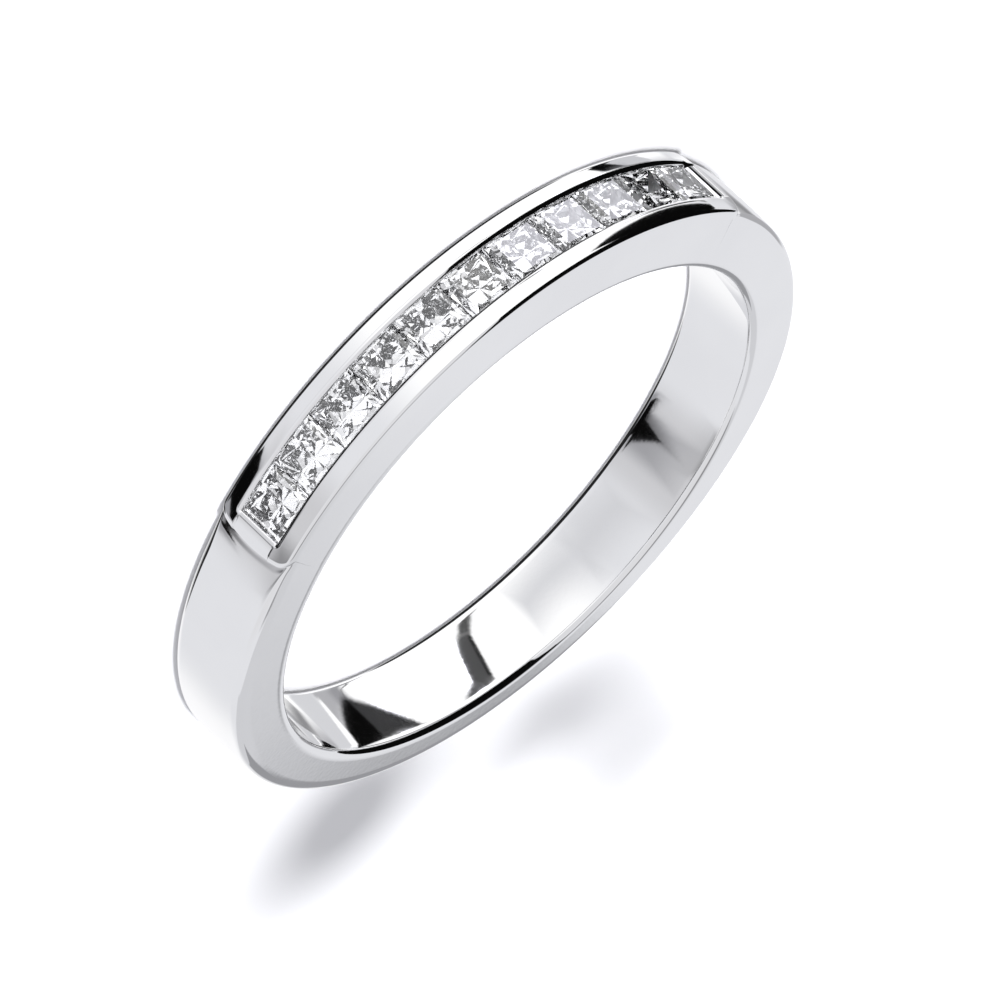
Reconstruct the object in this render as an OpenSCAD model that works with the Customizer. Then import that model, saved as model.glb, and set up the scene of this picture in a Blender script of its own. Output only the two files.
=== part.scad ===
// Half eternity ring: a tapered platinum band whose raised head holds a row of
// square princess cut diamonds between two rails. Millimetres. The finger hole
// runs along Z, the middle of the band's width is Z = 0, and the head faces -Y.

/* [Band] */
// Inside diameter of the finger hole
bore_d = 16.5; // [16:0.1:19]
// Width of the band along the finger
band_w = 2.58; // [2.5:0.02:3]
// Metal from the finger hole to the shank's outer surface, under the head's middle
wall_front = 1.90; // [1.85:0.01:2.1]
// The same at the sides, a quarter turn from the head
wall_side = 1.71; // [1.6:0.01:1.8]
// The same at the back of the band
wall_back = 1.10; // [0.9:0.01:1.3]
// Rounding of the shank's outer edges
shank_edge_r = 0.30; // [0.1:0.02:0.4]
// Rounding of the finger hole's two edges
bore_edge_r = 0.18; // [0.1:0.02:0.3]

/* [Head] */
// How far the rails stand out from the shank
head_rise = 0.16; // [0.1:0.01:0.3]
// Rounding of the rails' outer edges
rail_edge_r = 0.12; // [0.06:0.02:0.2]
// Opening between the two rails
channel_w = 1.37; // [1.3:0.01:1.44]
// Length of the bar that closes each end of the channel, in degrees
end_bar_deg = 3.5; // [2.5:0.1:5]

/* [Stones] */
// Side of each square stone
stone_w = 1.56; // [1.5:0.01:1.56]
// Depth of a stone from table to culet
stone_depth = 1.12; // [1:0.01:1.15]
// Side of the table
table_w = 1.16; // [1:0.01:1.2]
// Gap between two neighbouring stones at the girdle
stone_gap = 0.02; // [0.01:0.005:0.04]
// Clearance between a stone and the metal
seat_gap = 0.02; // [0.015:0.005:0.03]
// Depth of the tables below the tops of the rails
table_drop = 0.09; // [0.05:0.01:0.15]

/* [Hidden] */
STONES = ["stone_01", "stone_02", "stone_03", "stone_04", "stone_05", "stone_06",
          "stone_07", "stone_08", "stone_09", "stone_10", "stone_11"];
$fn = 180;

bore_r = bore_d / 2;
half_w = band_w / 2;

// The outer surface is four arcs, each tangent to the next: a front arc, a back
// arc, and one arc on each side. They are laid out with the head towards +X, and
// head_forward() turns the whole ring to face -Y.
side_r = bore_r + 0.55; // the side arcs are a little larger than the finger hole
side_y = bore_r + wall_side - side_r;
front_reach = bore_r + wall_front - side_r;
back_reach = bore_r + wall_back - side_r;
front_x = (pow(front_reach, 2) - pow(side_y, 2)) / (2 * front_reach);
back_x = (pow(side_y, 2) - pow(back_reach, 2)) / (2 * back_reach);
front_r = bore_r + wall_front - front_x;
back_r = bore_r + wall_back + back_x;
front_end = atan2(side_y, -front_x);
back_end = atan2(side_y, -back_x);
blank_r = bore_r - 1.5; // inner radius of the blank, which the finger hole cuts away

// The stones stand on the front arc's centre, like the rails
rail_r = front_r + head_rise;
crown_h = 0.17;
girdle_h = 0.04;
pavilion_h = stone_depth - crown_h - girdle_h;
girdle_r = rail_r - table_drop - crown_h;
pitch = 2 * atan((stone_w + stone_gap) / 2 / girdle_r);
end_gap_deg = 0.2; // between each end stone and its bar
row_half = pitch * len(STONES) / 2 + end_gap_deg;
head_half = row_half + end_bar_deg;
culet_gap = 0.12; // from the culets to the channel's floor
floor_r = girdle_r - girdle_h - pavilion_h - culet_gap;
groove_rise = 0.07; // from the girdle's upper edge to the top of the groove that holds it
seat_steep = [0.36, 0.16]; // below the groove: depth and inset of the seat's steep part
seat_end = [0.64, 0.42]; // the same where the sloping seat meets the plain walls

// Facet cuts of a stone: [count, first azimuth, tilt from level, distance out, height]
CUTS = [
    [4, 0, 34, table_w / 2, crown_h], // four facets along the table
    [4, 45, 29, table_w * 0.685, crown_h], // one across each corner of the table
    [4, 0, 47, stone_w / 2, 0], // four from the girdle's upper edge
    [4, 0, 118, stone_w / 2, -girdle_h], // four steep ones under the girdle
    [4, 12, 130, stone_w * 0.353, -girdle_h - pavilion_h * 0.473], // chevrons, left halves
    [4, -12, 130, stone_w * 0.353, -girdle_h - pavilion_h * 0.473], // and right halves
    [8, 22.5, 139.5, 0, -girdle_h - pavilion_h] // eight that meet in the culet
];

module head_forward() {
    rotate([0, 0, -90]) children();
}

// Turns a section drawn as [distance out, height] about [x, y], from angle a to angle b
module arc(x, y, a, b) {
    translate([x, y, 0]) rotate([0, 0, a]) rotate_extrude(angle = b - a) children();
}

// A section of the band: square inside, rounded on its two outer edges
module band_section(r, edge_r) {
    depth = r - blank_r;
    translate([blank_r, -half_w]) square([depth - edge_r, band_w]);
    translate([blank_r, edge_r - half_w]) square([depth, band_w - 2 * edge_r]);
    for (side = [-1, 1])
        translate([r - edge_r, side * (half_w - edge_r)]) circle(edge_r);
}

module shank_blank() {
    arc(front_x, 0, -front_end, front_end) band_section(front_r, shank_edge_r);
    arc(0, side_y, front_end, back_end) band_section(side_r, shank_edge_r);
    arc(0, -side_y, -back_end, -front_end) band_section(side_r, shank_edge_r);
    arc(back_x, 0, back_end, 360 - back_end) band_section(back_r, shank_edge_r);
}

module head_blank() {
    arc(front_x, 0, -head_half, head_half) band_section(rail_r, rail_edge_r);
}

// The finger hole with its two edges rounded into the side faces
module finger_hole() {
    rotate_extrude() difference() {
        translate([0, -half_w - 1]) square([bore_r + bore_edge_r, band_w + 2]);
        translate([bore_r, bore_edge_r - half_w])
            square([2 * bore_edge_r, band_w - 2 * bore_edge_r]);
        for (side = [-1, 1])
            translate([bore_r + bore_edge_r, side * (half_w - bore_edge_r)]) circle(bore_edge_r);
    }
}

// The channel's section: open between the rails, wider where the girdles sit in
// their grooves, then sloping in under the pavilions to plain walls and a floor.
// Half of it is listed as [distance out, half width].
module channel_section() {
    groove = stone_w / 2 + seat_gap;
    groove_low = girdle_r - girdle_h - seat_gap;
    half = [[rail_r + 1, channel_w / 2], [girdle_r + crown_h, channel_w / 2],
            [girdle_r + groove_rise, groove], [groove_low, groove],
            [groove_low - seat_steep[0], groove - seat_steep[1]],
            [groove_low - seat_end[0], groove - seat_end[1]],
            [floor_r, groove - seat_end[1]]];
    polygon([for (p = half) p, for (i = [len(half) - 1:-1:0]) [half[i][0], -half[i][1]]]);
}

module channel() {
    arc(front_x, 0, -row_half, row_half) channel_section();
}

module band() {
    color("gainsboro") head_forward() difference() {
        union() {
            shank_blank();
            head_blank();
        }
        finger_hole();
        channel();
    }
}

// A princess cut stone: table up at +Z, the girdle's upper edge at Z = 0. The
// rough is as wide as the girdle, and each cut takes off all that lies beyond a facet.
module princess() {
    rough = 2 * stone_w;
    difference() {
        translate([-stone_w / 2, -stone_w / 2, -girdle_h - pavilion_h])
            cube([stone_w, stone_w, stone_depth]);
        for (c = CUTS)
            for (k = [0:c[0] - 1])
                rotate([0, 0, c[1] + 360 / c[0] * k]) translate([c[3], 0, c[4]])
                    rotate([0, c[2], 0]) translate([-rough, -rough, 0]) cube(2 * rough);
    }
}

module stone(i) {
    color("white") head_forward() translate([front_x, 0, 0])
        rotate([0, 0, pitch * (i - (len(STONES) - 1) / 2)])
            translate([girdle_r, 0, 0]) rotate([0, 90, 0]) princess();
}

band();
for (i = [0:len(STONES) - 1])
    stone(i);
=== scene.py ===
import bmesh
import bpy
import random
from math import atan, atan2, cos, hypot, pi, radians, sin, sqrt
from mathutils import Matrix, Vector


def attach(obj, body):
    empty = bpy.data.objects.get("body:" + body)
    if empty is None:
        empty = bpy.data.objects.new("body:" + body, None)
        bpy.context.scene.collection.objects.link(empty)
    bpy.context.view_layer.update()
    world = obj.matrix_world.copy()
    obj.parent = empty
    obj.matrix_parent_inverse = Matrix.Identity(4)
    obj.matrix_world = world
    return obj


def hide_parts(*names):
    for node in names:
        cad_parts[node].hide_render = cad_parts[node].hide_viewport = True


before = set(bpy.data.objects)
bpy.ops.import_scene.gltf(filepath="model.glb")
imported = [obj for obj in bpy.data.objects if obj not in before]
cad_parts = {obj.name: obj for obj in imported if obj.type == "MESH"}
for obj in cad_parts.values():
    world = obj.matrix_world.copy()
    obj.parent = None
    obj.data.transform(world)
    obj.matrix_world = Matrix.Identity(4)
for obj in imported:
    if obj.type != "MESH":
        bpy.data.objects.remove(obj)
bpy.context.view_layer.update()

mm = 0.001

# Lengths are in millimetres and angles in degrees
band = {
    "halfWidth": 1.29,
    "boreRadius": 8.25,
    "boreEdge": 0.18,  # rounding of the finger hole's edges
    "boreCrown": 0.02,  # the inside wall is a touch fuller in its middle
    "wallFront": 1.90,  # the wall under the head, without the head's rise
    "wallSide": 1.71,
    "wallBack": 1.10,
    "sideSpread": 0.55,  # how much larger the side arcs are than the hole
    "shankEdge": 0.30,  # rounding of the shank's outer edges
    "shankCrown": 0.035,  # its outer face is very slightly domed
    "lowerEdge": 0.13,  # rounding of the head's edge on the side that lies down
    "upperEdge": 0.1,  # and on the side that shows
    "edgeStart": 1.2,  # how far outside the head the edges begin to turn crisp
    "edgeLength": 1.4,
    "railLean": 0.03,  # how far a rail's top leans outwards
    "railCrown": 0.03,  # how much further it falls away at its outer edge
    "headRise": 0.16,
    "headCorner": 0.34,  # the head's corners are rounded in plan
    "headBulge": 0.22,  # and its ends are slightly round
    "insetFull": 0.3,  # sections this close to the head's ends follow their roundness
    "insetFade": 1.5,  # and stand straight again after this much more
    "headGroove": 0.012,  # a faint valley along the foot of its step
    "grooveLength": 0.25,
    "stepLength": 0.22,
    "lipHalf": 0.685,  # half the opening between the lips that hold the stones
    "lipRound": 0.14,
    "lipFoot": 0.15,  # how deep a lip's inner face reaches
    "grooveTop": 0.19,  # and how deep the girdles' groove begins
    "barOver": 0.095,  # the end bars reach over the stones' edges, as the rails do
    "barLean": 0.02,  # one end bar slopes down towards the shank
    "barCrown": 0.09,  # more and more steeply
    "barRise": 0.13,  # the other is domed down towards the stones
    "barHalf": 0.64,  # a bar's slope ends here, in a short bend up to the rail
    "barBend": 0.06,
    "barFade": 0.3,  # behind its lip, a bar's sections turn to the head's end over this length
    "endBar": 3.5,  # how far the head goes on past the row of stones
    "endGap": 0.2,  # between the last stone and the channel's end
}
stone = {
    "count": 11,
    "width": 1.56,
    "gap": 0.02,
    "crown": 0.17,
    "girdle": 0.04,
    "pavilion": 0.91,
    "table": 1.16,
    "tableDrop": 0.09,
    "cornerOut": 1.37,  # distance out of the crown's corner facets, in half tables
    "wingOut": 0.706,  # the pavilion's wings pass this share of the half width
    "wingDrop": 0.473,  # at this share of its depth
    "tilt": 0.6,  # how far a stone may sit askew
    "twist": 0.5,  # how much of that it may turn about its own axis
    "tipped": {1: -0.8},  # stones that lean further towards one rail
    "facetError": 0.8,  # how far a facet's angle may be off
    "seed": 40,
}

# The outer surface is four arcs, each tangent to the next, as in the part's source. Below, a
# turn is an angle in radians about the hole's centre, from the middle of the head.
sideRadius = band["boreRadius"] + band["sideSpread"]
sideCentre = band["boreRadius"] + band["wallSide"] - sideRadius
frontReach = band["boreRadius"] + band["wallFront"] - sideRadius
backReach = band["boreRadius"] + band["wallBack"] - sideRadius
frontCentre = (frontReach ** 2 - sideCentre ** 2) / (2 * frontReach)
backCentre = (sideCentre ** 2 - backReach ** 2) / (2 * backReach)
frontRadius = band["boreRadius"] + band["wallFront"] - frontCentre
backRadius = band["boreRadius"] + band["wallBack"] + backCentre
railRadius = frontRadius + band["headRise"]
girdleRadius = railRadius - stone["tableDrop"] - stone["crown"]
pitch = 2 * atan((stone["width"] + stone["gap"]) / 2 / girdleRadius)


def turnOf(own, x, radius):  # direction from the hole's centre of a point on an arc
    return atan2(radius * sin(own), x + radius * cos(own))


def arcReach(turn, x, y, radius):  # distance from the hole's centre to an arc
    along = x * cos(turn) + y * sin(turn)
    return along + sqrt(radius ** 2 - x ** 2 - y ** 2 + along ** 2)


rowOwn = pitch * stone["count"] / 2 + radians(band["endGap"])
frontJoin = turnOf(atan2(sideCentre, -frontCentre), frontCentre, frontRadius)
backJoin = turnOf(atan2(sideCentre, -backCentre), backCentre, backRadius)
rowEnd = turnOf(rowOwn, frontCentre, railRadius)
barStart = rowEnd - band["barOver"] / railRadius
headEnd = turnOf(rowOwn + radians(band["endBar"]), frontCentre, railRadius)


def ease(t):
    t = min(1, max(0, t))
    return t * t * (3 - 2 * t)


def spread(a, b, count):  # values after a that end at b
    return [a + (b - a) * (k + 1) / count for k in range(count)]


def moved(turn, shift):  # a turn shifted by millimetres along the band, away from the head's middle
    return turn + (shift if turn >= 0 else -shift) / railRadius


def insideHead(turn):  # millimetres from the head's end, along the band
    return (headEnd - abs(turn)) * railRadius


def intoBar(turn):  # millimetres from the edge of an end bar, along the band
    return (abs(turn) - barStart) * railRadius


def shankReach(turn):
    turn = abs(turn)
    if turn < frontJoin:
        return arcReach(turn, frontCentre, 0, frontRadius)
    if turn < backJoin:
        return arcReach(turn, 0, sideCentre, sideRadius)
    return arcReach(turn, backCentre, 0, backRadius)


def cornerInset(z):  # how far the head's end stands back at a height
    r = band["headCorner"]
    side = min(r, max(0, z - band["halfWidth"] + r))
    return r - sqrt(r * r - side * side) + band["headBulge"] * (z / band["halfWidth"]) ** 2


def cornerFade(turn, name):  # the share of that inset that a section takes
    if name in ("lip", "channel") and insideHead(turn) > 0:
        return ease((intoBar(turn) - band["lipRound"]) / band["barFade"])
    return 1 - ease((abs(insideHead(turn)) - band["insetFull"]) / band["insetFade"])


def barDrop(turn, past):  # how far an end bar lies below the rails
    along = min(1, past / ((headEnd - barStart) * railRadius))
    if turn < 0:
        return band["barRise"] * (1 - along) ** 2
    return band["barLean"] * along + band["barCrown"] * along ** 2


# The outer surface with the head's rails and end bars; endZ sets the head's end in place of z
def topReach(turn, z, endZ=None):
    into = insideHead(turn) - cornerInset(z if endZ is None else endZ)
    share = sqrt(1 - (1 - min(1, max(0, into / band["stepLength"]))) ** 2)
    dome = band["shankCrown"] * (z / band["halfWidth"]) ** 2
    valley = band["headGroove"] * (1 - ease(-into / band["grooveLength"]))
    out = max(0, z - band["lipHalf"]) / (band["halfWidth"] - band["lipHalf"])
    drop = band["railLean"] * out + band["railCrown"] * out ** 2
    past = max(0, intoBar(turn))
    if past > 0:
        drop += barDrop(turn, past) * (1 - ease((z - band["barHalf"]) / band["barBend"]))
    away = hypot(max(0, z - band["lipHalf"]), past)
    lip = band["lipRound"]
    if away < lip:
        drop += lip - sqrt(lip ** 2 - (lip - away) ** 2)
    return shankReach(turn) + (band["headRise"] - drop) * share - (dome + valley) * (1 - share)


def edgeRadius(turn, side):  # the outer edge is crisp along the head and soft along the shank
    headEdge = band["upperEdge"] if side > 0 else band["lowerEdge"]
    share = ease((insideHead(turn) + band["edgeStart"]) / band["edgeLength"])
    return band["shankEdge"] + (headEdge - band["shankEdge"]) * share


# Half of the channel's section: depth below the rail, half width and steps to get there
channelSection = [
    (band["lipFoot"], band["lipHalf"], 2),
    (band["grooveTop"], 0.80, 2),  # out under the lip, into the groove
    (0.32, 0.80, 2),
    (0.68, 0.64, 3),  # in along the seat
    (0.96, 0.38, 3),
    (1.33, 0.38, 2),
    (1.33, 0.0, 3),  # to the middle of the floor
]
deepFrom = channelSection[0][2] + channelSection[1][2] - 1  # the first point that the bars reach over
barFlat = 0.58  # half of an end bar that needs no close points
barEdgePoints = 6
sectionSteps = {"wall": 9, "boreEdge": 9, "side": 7, "outerEdge": 10, "rail": 9, "lip": 6}


def channelOutline():
    points = []
    depth, half = band["lipRound"], band["lipHalf"]
    for nextDepth, nextHalf, steps in channelSection:
        points += zip(spread(depth, nextDepth, steps), spread(half, nextHalf, steps))
        depth, half = nextDepth, nextHalf
    return points


channelPoints = channelOutline()
barHalves = spread(band["lipHalf"], barFlat, barEdgePoints)
barHalves += spread(barFlat, 0, len(channelPoints) - barEdgePoints)


def sectionLoop():  # name, place and side of each point, once round from the inside wall's middle
    half = [("wall", 0)]
    for name, steps in sectionSteps.items():
        half += [(name, t) for t in spread(0, 1, steps)]
    half += [("channel", k) for k in range(len(channelPoints))]
    return [(name, t, 1) for name, t in half] + [(name, t, -1) for name, t in half[-2:0:-1]]


def channelPoint(turn, kind, k):
    level = shankReach(turn) + band["headRise"]
    if kind == "shelf":
        return band["barOver"], level - band["grooveTop"], barHalves[k]
    if kind == "under":
        return 0, level - band["lipFoot"], barHalves[k]
    depth, half = channelPoints[k]
    return band["barOver"] if kind == "foot" and k >= deepFrom else 0, level - depth, half


def sectionPoint(turn, kind, name, t, side):  # shift along the band, distance out, height
    wide, edge = band["halfWidth"], edgeRadius(turn, side)
    bore, boreEdge = band["boreRadius"] + band["boreCrown"], band["boreEdge"]
    if name == "wall":
        return 0, band["boreRadius"] + band["boreCrown"] * t * t, t * (wide - boreEdge)
    if name == "boreEdge":
        return 0, bore + boreEdge - boreEdge * cos(t * pi / 2), wide - boreEdge + boreEdge * sin(t * pi / 2)
    if name == "channel" and kind != "bar":
        return channelPoint(turn, kind, t)
    if name == "side":
        z = wide
    elif name == "outerEdge":
        z = wide - edge + edge * cos(t * pi / 2)
    elif name == "rail":
        z = wide - edge + (band["lipHalf"] + band["lipRound"] - wide + edge) * t
    elif name == "lip":
        z = band["lipHalf"] + band["lipRound"] * (1 - sin(t * pi / 2))
    else:
        z = barHalves[t]
    shift = -cornerInset(z) * cornerFade(turn, name)
    if name not in ("side", "outerEdge"):
        return shift, topReach(moved(turn, shift), z), z
    outer = topReach(moved(turn, shift), wide - edge, z) - edge
    if name == "side":
        return shift * t, bore + boreEdge + (outer - bore - boreEdge) * t, wide
    return shift, outer + edge * sin(t * pi / 2), z


# How many sections each stretch has, and where those just past the head's end stand
sectionCounts = {"channel": 58, "barLip": 6, "bar": 9, "step": 10, "shank": 96}
pastHead = [0.02, 0.05, 0.09, 0.14, 0.2, 0.28, 0.38, 0.5, 0.65, 0.8, 1.0, 1.2, 1.45, 1.7, 2.0]
closeGap = 0.002


def bandStations():  # turn and kind of each section
    lip, step = band["lipRound"] / railRadius, band["stepLength"] / railRadius
    barLip = barStart + closeGap * 4 / railRadius
    half = [(t, "open") for t in [0] + spread(0, barStart, sectionCounts["channel"])]
    for k, kind in enumerate(("foot", "shelf", "under")):  # the channel's end, back out from under the bar
        half.append((barStart + closeGap * (k + 1) / railRadius, kind))
    half += [(barLip + lip * (1 - cos(t)), "bar") for t in spread(0, pi / 2, sectionCounts["barLip"])]
    half += [(t, "bar") for t in spread(barLip + lip, headEnd - step, sectionCounts["bar"])]
    half += [(headEnd - step * (1 - sin(t)), "bar") for t in spread(0, pi / 2, sectionCounts["step"])]
    half += [(headEnd + past / railRadius, "bar") for past in pastHead]
    half += [(t, "bar") for t in spread(headEnd + pastHead[-1] / railRadius, pi, sectionCounts["shank"])]
    return half + [(-t, kind) for t, kind in half[-2:0:-1]]


def showSharp(bm, limit=32):  # smooth shading, broken where two faces meet at a clear angle
    for edge in bm.edges:
        edge.smooth = not (edge.is_manifold and edge.calc_face_angle() > radians(limit))
    for face in bm.faces:
        face.smooth = True


def addMesh(name, bm, material):
    mesh = bpy.data.meshes.new(name)
    bm.to_mesh(mesh)
    bm.free()
    mesh.materials.append(material)
    thing = bpy.data.objects.new(name, mesh)
    bpy.context.scene.collection.objects.link(thing)
    return thing


def addPiece(name, bm, material, node):
    bmesh.ops.scale(bm, vec=(mm, mm, mm), verts=bm.verts)
    piece = addMesh(name, bm, material)
    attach(piece, "root")
    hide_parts(node)
    return piece


def makeBand(material):
    section, stations = sectionLoop(), bandStations()
    bm = bmesh.new()
    place = bm.verts.layers.int.new("place")
    shadedChannel = bm.verts.layers.float.new("shadedChannel")
    ring = []
    for k, (name, t, side) in enumerate(section):
        reach, z = sectionPoint(pi, "bar", name, t, side)[1:]
        vert = bm.verts.new((reach, 0, z * side))
        vert[place] = k
        ring.append(vert)
    edges = [bm.edges.new((a, b)) for a, b in zip(ring, ring[1:] + ring[:1])]
    bmesh.ops.spin(bm, geom=ring + edges, cent=(0, 0, 0), axis=(0, 0, 1), dvec=(0, 0, 0),
                   angle=2 * pi, steps=len(stations), use_merge=True, use_duplicate=False)
    for vert in bm.verts:  # each spun section goes to its own station and takes its shape there
        k = round(atan2(vert.co.y, vert.co.x) / (2 * pi) * len(stations)) % len(stations)
        turn, kind = stations[k]
        name, t, side = section[vert[place]]
        shift, reach, z = sectionPoint(turn, kind, name, t, side)
        at = moved(turn, shift)
        vert.co = (reach * sin(at), -reach * cos(at), z * side)
        # the channel's points under the stones are marked for painted shade
        vert[shadedChannel] = 1 if kind in ("open", "foot", "shelf") and name == "channel" else 0
    bmesh.ops.remove_doubles(bm, verts=bm.verts, dist=1e-5)
    bmesh.ops.dissolve_degenerate(bm, dist=1e-6, edges=bm.edges)
    bmesh.ops.recalc_face_normals(bm, faces=bm.faces)
    showSharp(bm)
    piece = addPiece("polished_band", bm, material, "band")
    even = piece.modifiers.new("even", "WEIGHTED_NORMAL")
    even.keep_sharp = True
    return piece


def facetCuts(rng):  # azimuth, tilt from level, distance out, height
    wide, table = stone["width"] / 2, stone["table"] / 2
    crown, low, deep = stone["crown"], -stone["girdle"], stone["pavilion"]
    wingOut, wingLow = wide * stone["wingOut"], low - deep * stone["wingDrop"]
    rows = [  # how many, first azimuth, tilt, distance out, height
        (4, 0, 34, table, crown),
        (4, 45, 29, table * stone["cornerOut"], crown),
        (4, 0, 47, wide, 0),
        (4, 0, 118, wide, low),
        (4, 12, 130, wingOut, wingLow),
        (4, -12, 130, wingOut, wingLow),
        (8, 22.5, 139.5, 0, low - deep),
    ]
    for count, first, tilt, out, height in rows:
        for k in range(count):
            slip = rng.uniform(-1, 1) * stone["facetError"]
            yield radians(first + 360 / count * k), radians(tilt + slip), out, height


def makeStone(index, material):
    rng = random.Random(stone["seed"] + index)
    bm = bmesh.new()
    depth = stone["crown"] + stone["girdle"] + stone["pavilion"]
    bmesh.ops.create_cube(bm, size=1)
    bmesh.ops.scale(bm, vec=(stone["width"], stone["width"], depth), verts=bm.verts)
    bmesh.ops.translate(bm, vec=(0, 0, stone["crown"] - depth / 2), verts=bm.verts)
    for azimuth, tilt, out, height in facetCuts(rng):
        cut = bmesh.ops.bisect_plane(
            bm, geom=bm.verts[:] + bm.edges[:] + bm.faces[:], dist=1e-6, clear_outer=True,
            plane_co=(out * cos(azimuth), out * sin(azimuth), height),
            plane_no=(sin(tilt) * cos(azimuth), sin(tilt) * sin(azimuth), cos(tilt)))
        rim = [e for e in cut["geom_cut"] if isinstance(e, bmesh.types.BMEdge)]
        if rim:
            bmesh.ops.holes_fill(bm, edges=rim, sides=0)
    bmesh.ops.remove_doubles(bm, verts=bm.verts, dist=1e-5)
    bmesh.ops.recalc_face_normals(bm, faces=bm.faces)
    lean = radians(stone["tilt"])
    askew = Matrix.Rotation(rng.uniform(-lean, lean), 4, "X")
    askew @= Matrix.Rotation(rng.uniform(-lean, lean), 4, "Y")
    askew @= Matrix.Rotation(rng.uniform(-lean, lean) * stone["twist"], 4, "Z")
    askew @= Matrix.Rotation(radians(stone["tipped"].get(index, 0)), 4, "Y")
    upright = Matrix.Rotation(pi / 2, 4, "Y")  # the table faces out along +X
    own = pitch * (index - (stone["count"] - 1) / 2)
    onBand = Matrix.Rotation(own - pi / 2, 4, "Z") @ Matrix.Translation((girdleRadius, 0, 0))
    toHead = Matrix.Translation((0, -frontCentre, 0))
    bmesh.ops.transform(bm, matrix=toHead @ onBand @ upright @ askew, verts=bm.verts)
    return addPiece(f"diamond_{index + 1:02d}", bm, material, f"stone_{index + 1:02d}")


def nodeTree(owner):
    owner.use_nodes = True
    owner.node_tree.nodes.clear()
    return owner.node_tree


def add(tree, kind, **values):  # a node with its fields and inputs set
    node = tree.nodes.new(kind)
    for key, value in values.items():
        if hasattr(node, key):
            setattr(node, key, value)
        else:
            node.inputs[key.replace("_", " ")].default_value = value
    return node


def addNoise(tree, scale, detail):  # its places are the object's own, in metres
    place = add(tree, "ShaderNodeTexCoord")
    noise = add(tree, "ShaderNodeTexNoise", Scale=scale, Detail=detail)
    tree.links.new(place.outputs["Object"], noise.inputs["Vector"])
    return noise.outputs["Fac"]


def addRamp(tree, share, stops):  # two stops, each a position and a colour
    ramp = add(tree, "ShaderNodeValToRGB")
    for element, (position, colour) in zip(ramp.color_ramp.elements, stops):
        element.position = position
        element.color = colour
    tree.links.new(share, ramp.inputs["Fac"])
    return ramp.outputs["Color"]


def mixColour(tree, share, first, second):  # each is a socket or four numbers
    mix = add(tree, "ShaderNodeMix", data_type="RGBA")
    tree.links.new(share, mix.inputs[0])
    for socket, colour in ((mix.inputs[6], first), (mix.inputs[7], second)):  # the colour sockets
        if isinstance(colour, tuple):
            socket.default_value = colour
        else:
            tree.links.new(colour, socket)
    return mix.outputs[2]


platinumFinish = {
    "tones": ((0.35, (0.865, 0.865, 0.872, 1)), (0.65, (0.895, 0.895, 0.900, 1))),
    "cloudScale": 260.0,
    "cloudDetail": 3.0,
    "shadedChannel": (0.52, 0.52, 0.53, 1),  # painted shade: the channel under the stones is darkened
    "recessRoughness": 0.35,
    "roughness": (0.025, 0.06),
    "markScale": 9000.0,  # polishing marks, about a tenth of a millimetre across
    "markDetail": 2.0,
    "markStrength": 0.02,
    "markDepth": 0.00001,
}


def makePlatinum():
    material = bpy.data.materials.new("mirror_platinum")
    tree = nodeTree(material)
    link = tree.links.new
    out = add(tree, "ShaderNodeOutputMaterial")
    metal = add(tree, "ShaderNodeBsdfPrincipled", Metallic=1.0)
    link(metal.outputs["BSDF"], out.inputs["Surface"])
    cloud = addNoise(tree, platinumFinish["cloudScale"], platinumFinish["cloudDetail"])
    tone = addRamp(tree, cloud, platinumFinish["tones"])
    # painted shade darkens the channel under the stones; the same mask makes it rougher
    shadedChannel = add(tree, "ShaderNodeAttribute", attribute_name="shadedChannel")
    shade = mixColour(tree, shadedChannel.outputs["Fac"], tone, platinumFinish["shadedChannel"])
    link(shade, metal.inputs["Base Color"])
    marks = addNoise(tree, platinumFinish["markScale"], platinumFinish["markDetail"])
    smooth, rough = platinumFinish["roughness"]
    gloss = add(tree, "ShaderNodeMapRange", To_Min=smooth, To_Max=rough)
    link(marks, gloss.inputs["Value"])
    dull = add(tree, "ShaderNodeMix", data_type="FLOAT")
    link(shadedChannel.outputs["Fac"], dull.inputs[0])
    link(gloss.outputs["Result"], dull.inputs[2])
    dull.inputs[3].default_value = platinumFinish["recessRoughness"]
    link(dull.outputs[0], metal.inputs["Roughness"])
    bump = add(tree, "ShaderNodeBump", Strength=platinumFinish["markStrength"],
               Distance=platinumFinish["markDepth"])
    link(marks, bump.inputs["Height"])
    link(bump.outputs["Normal"], metal.inputs["Normal"])
    return material


diamondFinish = {
    "tones": ((0.0, (0.985, 0.988, 0.995, 1)), (1.0, (1.0, 1.0, 1.0, 1))),  # a faint cool veil
    "veilScale": 1800.0,
    "veilDetail": 4.0,
    "refraction": 2.42,
}


def makeDiamond():
    material = bpy.data.materials.new("colourless_diamond")
    tree = nodeTree(material)
    out = add(tree, "ShaderNodeOutputMaterial")
    gem = add(tree, "ShaderNodeBsdfPrincipled", Roughness=0.0, IOR=diamondFinish["refraction"],
              Transmission_Weight=1.0)
    tree.links.new(gem.outputs["BSDF"], out.inputs["Surface"])
    veil = addNoise(tree, diamondFinish["veilScale"], diamondFinish["veilDetail"])
    tree.links.new(addRamp(tree, veil, diamondFinish["tones"]), gem.inputs["Base Color"])
    return material


platinum = makePlatinum()
diamond = makeDiamond()
print("materials ready")
polishedBand = makeBand(platinum)
print("band", len(polishedBand.data.polygons), "faces")
stones = [makeStone(k, diamond) for k in range(stone["count"])]
print("stones", len(stones), "with", len(stones[0].data.polygons), "facets each")

# Studio. Azimuths are measured from the camera's, as seen from the ring.
camera = {
    "azimuth": -69.5,  # this one from +X
    "elevation": 23.07,
    "roll": 133.48,
    "distance": 291.2,
    "lens": 396.0,
    "sensor": 36,
    "aimRight": 0.294,
    "aimUp": -0.469,
    "clip": (0.01, 20),  # metres
}


def direction(azimuth, elevation):
    azimuth, elevation = radians(camera["azimuth"] + azimuth), radians(elevation)
    return Vector((cos(azimuth) * cos(elevation), sin(azimuth) * cos(elevation), sin(elevation)))


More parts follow.
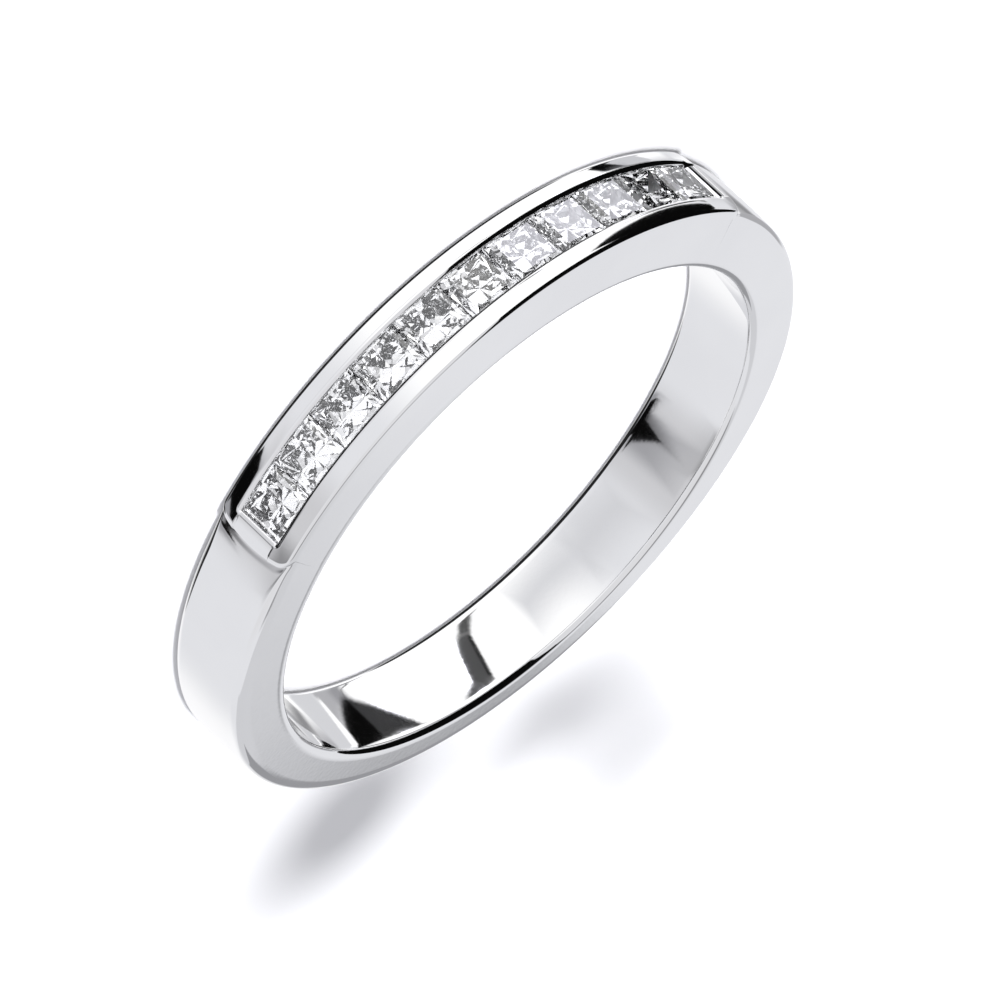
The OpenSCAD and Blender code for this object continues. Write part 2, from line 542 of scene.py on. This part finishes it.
def makeCamera():
    away = direction(0, camera["elevation"])
    side = Vector((-away.y, away.x, 0)).normalized()
    top = away.cross(side)
    turn = radians(camera["roll"])
    right = cos(turn) * side + sin(turn) * top
    up = cos(turn) * top - sin(turn) * side
    place = away * camera["distance"]
    aim = right * camera["aimRight"] + up * camera["aimUp"]
    back = (place - aim).normalized()
    right = up.cross(back).normalized()
    up = back.cross(right)
    data = bpy.data.cameras.new("camera")
    data.lens = camera["lens"]
    data.sensor_width = camera["sensor"]
    data.clip_start, data.clip_end = camera["clip"]
    view = bpy.data.objects.new("camera", data)
    bpy.context.scene.collection.objects.link(view)
    matrix = Matrix((right, up, back)).transposed().to_4x4()
    matrix.translation = place * mm
    view.matrix_world = matrix
    bpy.context.scene.camera = view


# What the polished metal mirrors: a white tent with grey and black cards in it. Each card is
# a shade, the softness of its edge in degrees, and its corners as (azimuth, elevation), listed
# anticlockwise on a chart with azimuth to the right and elevation up. Two corners bound a half
# of the tent. A number after one corner makes a round card with that radius in degrees. Later
# cards lie over earlier ones.
tent = 1.22
black = (0.003, 0.003, 0.003)
white = (1.2, 1.2, 1.2)
cards = [
    ((0.850, 0.856, 0.885), 14, [(-2, 60), (-2, -60)]),  # the tent's shaded right half
    ((0.840, 0.846, 0.875), 12, [(60, 60), (60, -60)]),  # and its back
    ((0.80, 0.80, 0.82), 8, [(-40, 10), (90, 10), (150, 70), (-100, 70)]),  # its roof
    ((0.68, 0.685, 0.71), 1.1, [(179.3, 60), (120, 20), (179.3, -40)]),
    ((0.34, 0.343, 0.36), 0.5, [(150, 22.5), (150, 0), (180.0, 0), (179.6, 22.45)]),
    ((0.30, 0.30, 0.31), 3, [(118, 48), (180, 46), (-150, 48), (-150, 64), (118, 64)]),
    ((0.76, 0.765, 0.79), 3, [(-26, -25.2), (5, -25.2), (5, -20.6), (-26, -20.6)]),
    ((0.72, 0.725, 0.75), 3, [(3, -25.2), (30, -25.2), (30, -20.6), (3, -20.6)]),
    ((0.02, 0.02, 0.021), 0.8, [(60, -86), 48]),
    ((1.05, 1.05, 1.06), 14, [(136, -50), (180, -50), (180, -8), (136, -8)]),
    ((0.68, 0.68, 0.70), 8, [(34, -34), (74, -34), (74, 5), (34, 5)]),
    ((0.40, 0.40, 0.42), 4, [(45, -41), (66, -41), (63, -20.5), (46, -20.5)]),
    ((0.30, 0.30, 0.31), 5, [(56, -17.5), (74, -17.5), (74, 6), (56, 6)]),
    ((0.36, 0.36, 0.38), 1.5, [(52, -40), (76, -40), (73, -25.5), (54, -27.4)]),
    ((0.12, 0.12, 0.125), 2.5, [(55, -29), (64.5, -29), (63, -25), (57, -22.6)]),
    (black, 0.3, [(44.3, -27.5), (60.5, -28.2), (60, -25.5), (57.2, -23.2)]),
    (black, 0.4, [(71, -25.5), (55, -25.5), (48.8, -31.6), (41, -38), (39, -43), (57, -43)]),
    (white, 2, [(-165, -45), (-100, -45), (-100, -26.8), (-140, -26)]),
    ((0.66, 0.665, 0.69), 0.5, [(-132, -26.6), (-123, -33), (-106, -36), (-106, -26.6)]),
    (black, 0.3, [(-106.5, -36), (-101, -36), (-107, -29.6), (-112, -26.9), (-118.5, -26.9)]),
    ((0.45, 0.45, 0.47), 2, [(-160, -24), (-139, -22), (-137, -5), (-139, 8), (-160, 8)]),
    (white, 1.5, [(-158, -26), (-143, -26), (-143, -23), (-155, -22.5)]),
    ((0.73, 0.735, 0.76), 1.5, [(-143, -26.8), (-126, -26.8), (-129, -19.6), (-141, -19.6)]),
    ((0.30, 0.30, 0.31), 0.7, [(-163, -22.2), (-147, -24.0), (-146, -23.4), (-150, -22.2), (-160, -21.2)]),
    ((0.50, 0.50, 0.52), 1.0, [(-127, -26.7), (-112, -26.7), (-111, -24.0), (-126, -22.0)]),
    ((0.36, 0.36, 0.38), 2.5, [(-117, -28), (-111, -28), (-110, -23.5), (-117, -22.8)]),
    (white, 0.3, [(-132.6, -20.0), (-130.2, -21.9), (-126.6, -24.3), (-124.8, -24.4), (-127.4, -20.0)]),
    ((2.9, 2.9, 3.2), 0.4, [(-98, -24.3), 2.4]),  # three lamps that the stones' tables mirror
    ((4.0, 4.0, 4.4), 0.4, [(-79.9, -23.7), 2.4]),
    ((4.0, 4.0, 4.4), 0.4, [(-59.6, -22.8), 2.4]),
    (black, 0.25, [(-128, -18.3), (-81, -14.5), (-71.5, -11.7), (-64.5, -9.2), (-50, -3),
                   (-36, 8), (-38, 30), (-50, 62), (-100, 78), (-172, 62)]),
    (black, 0.3, [(-127.4, -20.6), (-125.6, -22.1), (-113.3, -24.3), (-103.5, -23.1),
                  (-95.5, -21.4), (-88, -19.2), (-128, -18.9)]),
    ((0.050, 0.050, 0.052), 0.8, [(-112, -24.0), (-103.8, -23.0), (-96.5, -21.2), (-93, -20.2),
                                  (-110, -20.4)]),
    (black, 0.2, [(-112.6, -24.0), (-107, -26.8), (-105, -26.8), (-111.6, -24.4)]),
    ((0.09, 0.09, 0.092), 0.25, [(-47.2, -24.5), (-49.6, -22), (-52.5, -19.2), (-56, -18.7), (-61.3, -19.2),
                                 (-59.3, -21), (-57.6, -22.3), (-56, -23.5), (-54, -24.4), (-51.3, -25.1)]),
    ((0.05, 0.05, 0.051), 0.25, [(-68, -19.1), (-60.4, -20.3), (-59, -19.2), (-62, -18.7)]),
    ((0.07, 0.07, 0.071), 0.25, [(-51.3, -25.0), (-47, -26.4), (-43.5, -26.9), (-38, -27.1), (-47, -24.5)]),
    ((0.01, 0.01, 0.01), 0.3, [(-47.3, -24.5), (-52.6, -19.3), (-54, -19.3), (-48.6, -24.6)]),
]


def cardBounds(corners):  # directions that point into the card, and their least product inside it
    if not isinstance(corners[-1], tuple):
        centre, radius = corners
        return [direction(*centre)], cos(radians(radius))
    points = [direction(*corner) for corner in corners]
    sides = [a.cross(b).normalized() for a, b in zip(points, points[1:] + points[:1])]
    return sides[:1] if len(points) == 2 else sides, 0


def cardShare(tree, look, corners, soft):  # 1 in a card's direction and 0 outside it
    sides, least = cardBounds(corners)
    inside = None
    for side in sides:
        dot = add(tree, "ShaderNodeVectorMath", operation="DOT_PRODUCT")
        tree.links.new(look, dot.inputs[0])
        dot.inputs[1].default_value = side
        if inside is None:
            inside = dot.outputs["Value"]
            continue
        lower = add(tree, "ShaderNodeMath", operation="MINIMUM")
        tree.links.new(inside, lower.inputs[0])
        tree.links.new(dot.outputs["Value"], lower.inputs[1])
        inside = lower.outputs["Value"]
    blur = sin(radians(soft))
    edge = add(tree, "ShaderNodeMapRange", interpolation_type="SMOOTHSTEP", From_Min=least - blur,
               From_Max=least + blur)
    tree.links.new(inside, edge.inputs["Value"])
    return edge.outputs["Result"]


def makeTent():
    world = bpy.data.worlds.new("white_tent")
    bpy.context.scene.world = world
    tree = nodeTree(world)
    out = add(tree, "ShaderNodeOutputWorld")
    glow = add(tree, "ShaderNodeBackground", Strength=1.0)
    tree.links.new(glow.outputs["Background"], out.inputs["Surface"])
    look = add(tree, "ShaderNodeTexCoord").outputs["Generated"]
    colour = (tent, tent, tent, 1)
    for shade, soft, corners in cards:
        colour = mixColour(tree, cardShare(tree, look, corners, soft), colour, (*shade, 1))
    tree.links.new(colour, glow.inputs["Color"])


tableTop = {
    "half": 1.5,  # metres
    "colour": (0.93, 0.933, 0.96, 1),
    "roughness": 0.35,
}


def makeTablePaint():
    material = bpy.data.materials.new("white_table")
    tree = nodeTree(material)
    out = add(tree, "ShaderNodeOutputMaterial")
    paint = add(tree, "ShaderNodeBsdfPrincipled", Roughness=tableTop["roughness"],
                Base_Color=tableTop["colour"])
    tree.links.new(paint.outputs["BSDF"], out.inputs["Surface"])
    return material


def makeFloor(material):
    bm = bmesh.new()
    bmesh.ops.create_grid(bm, x_segments=8, y_segments=8, size=tableTop["half"])
    bmesh.ops.translate(bm, vec=(0, 0, -band["halfWidth"] * mm), verts=bm.verts)
    floor = addMesh("pale_floor", bm, material)
    floor.visible_glossy = False


# Round cards that hang out of sight above the floor and shade it; azimuth and reach say where
flags = [
    {"azimuth": 140.5, "reach": 14.8, "length": 7.2, "width": 6.6, "turn": 90},
    {"azimuth": 169, "reach": 17.6, "length": 6.8, "width": 3.3, "turn": 45},
    {"azimuth": 173.5, "reach": 22.8, "length": 9.0, "width": 2.25, "turn": 178},
]
flagHeight = 27


def makeFlags(material):
    bm = bmesh.new()
    for flag in flags:
        disc = bmesh.ops.create_circle(bm, cap_ends=True, segments=48, radius=0.5)["verts"]
        bmesh.ops.scale(bm, vec=(flag["length"], flag["width"], 1), verts=disc)
        spin = Matrix.Rotation(radians(camera["azimuth"] + flag["turn"]), 4, "Z")
        place = direction(flag["azimuth"], 0) * flag["reach"]
        place.z = flagHeight
        bmesh.ops.transform(bm, matrix=Matrix.Translation(place) @ spin, verts=disc)
    bmesh.ops.scale(bm, vec=(mm, mm, mm), verts=bm.verts)
    discs = addMesh("shading_flags", bm, material)
    for ray in ("camera", "diffuse", "glossy", "transmission"):
        setattr(discs, "visible_" + ray, False)


sun = {"strength": 3.1, "elevation": 89, "width": 10}
# Each softbox lights the inside of the stones only
softboxes = [
    {"azimuth": -112, "elevation": 8, "size": 0.17, "watts": 0.68},
    {"azimuth": -30, "elevation": 36, "size": 0.13, "watts": 0.16},
    {"azimuth": 48, "elevation": -6, "size": 0.09, "watts": 0.06},
]
lightDistance = 0.3  # metres, as are the softboxes' sizes


def addLight(name, kind, energy, azimuth, elevation, **fields):
    data = bpy.data.lights.new(name, kind)
    data.energy = energy
    for key, value in fields.items():
        setattr(data, key, value)
    light = bpy.data.objects.new(name, data)
    bpy.context.scene.collection.objects.link(light)
    at = direction(azimuth, elevation)
    light.location = at * lightDistance
    light.rotation_mode = "QUATERNION"
    light.rotation_quaternion = at.to_track_quat("Z", "Y")
    light.visible_glossy = False
    return light


def makeLights():
    overhead = addLight("overhead_sun", "SUN", sun["strength"], 0, sun["elevation"],
                        angle=radians(sun["width"]))
    overhead.visible_transmission = False
    for k, box in enumerate(softboxes):
        light = addLight(f"softbox_{k + 1}", "AREA", box["watts"], box["azimuth"], box["elevation"],
                         shape="SQUARE", size=box["size"])
        light.visible_diffuse = False


makeCamera()
makeTent()
tablePaint = makeTablePaint()
makeFloor(tablePaint)
makeFlags(tablePaint)
makeLights()
scene = bpy.context.scene
scene.view_settings.view_transform = "Standard"
scene.cycles.max_bounces = 30  # light crosses many facets before it leaves a stone
scene.cycles.transmission_bounces = 30
scene.cycles.glossy_bounces = 14
print("studio ready")
